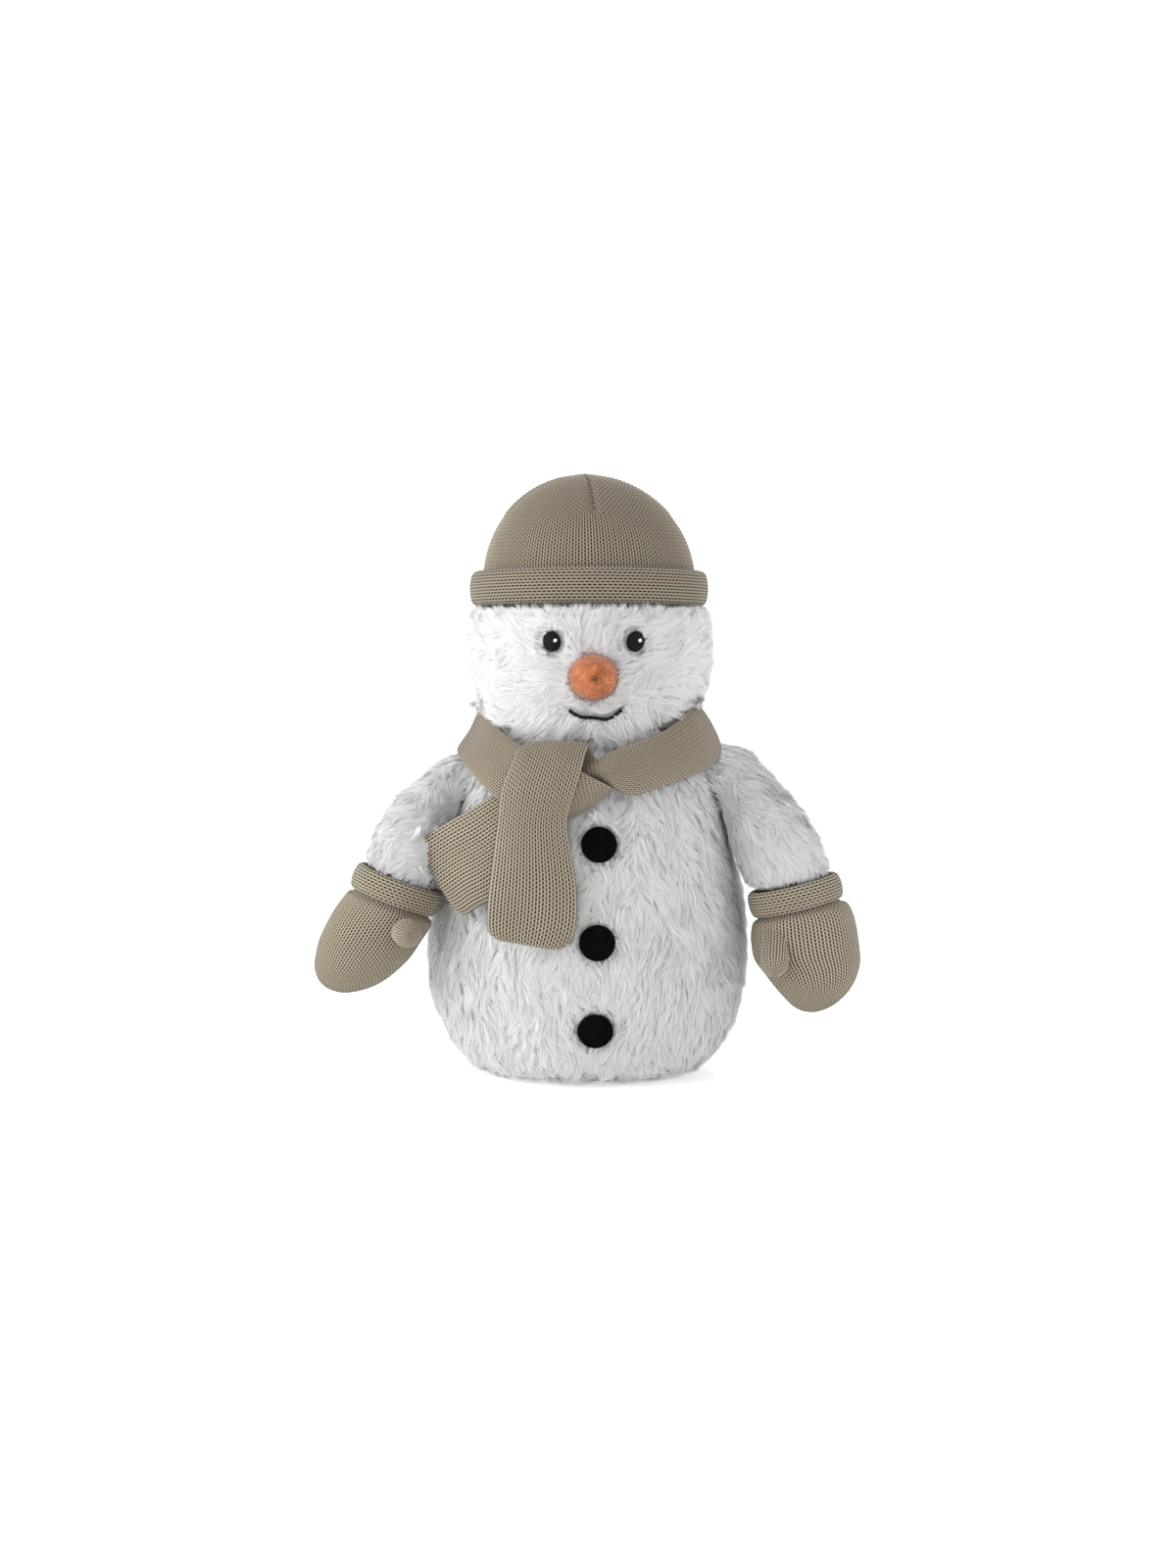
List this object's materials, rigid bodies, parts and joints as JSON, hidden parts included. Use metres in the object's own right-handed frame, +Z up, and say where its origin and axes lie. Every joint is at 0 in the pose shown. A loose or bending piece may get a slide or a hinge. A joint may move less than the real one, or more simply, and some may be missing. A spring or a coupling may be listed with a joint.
{
  "type": "plush snowman toy",
  "caption": "Soft toy snowman of white long-pile plush with a knitted hat, scarf and mittens, an orange nose and black buttons, sitting on a flat base.",
  "frame": {"origin": "on the floor, at the middle of the flat base that the toy sits on", "axes": "+Z up from the base to the top of the hat; the face looks along -Y; +X is to the right as seen from the front"},
  "size_m": [0.2681, 0.1598, 0.3005],
  "materials": {
    "white_plush": "long soft pile",
    "taupe_knit": "fine cotton knitting",
    "orange_velour": "short velour pile",
    "black_thread": "satin stitch",
    "white_thread": "satin stitch",
    "black_felt": "short felt pile"
  },
  "bodies": {
    "root": {"body": "white_plush", "head": "white_plush", "arm_left": "white_plush", "arm_right": "white_plush", "mitten_left": "taupe_knit", "mitten_right": "taupe_knit", "mitten_cuff_left": "taupe_knit", "mitten_cuff_right": "taupe_knit", "hat_crown": "taupe_knit", "hat_brim": "taupe_knit", "scarf": "taupe_knit", "nose": "orange_velour", "eye_left": "black_thread", "eye_right": "black_thread", "eye_glint_left": "white_thread", "eye_glint_right": "white_thread", "mouth": "black_thread", "button_top": "black_felt", "button_middle": "black_felt", "button_bottom": "black_felt"}
  },
  "joints": []
}
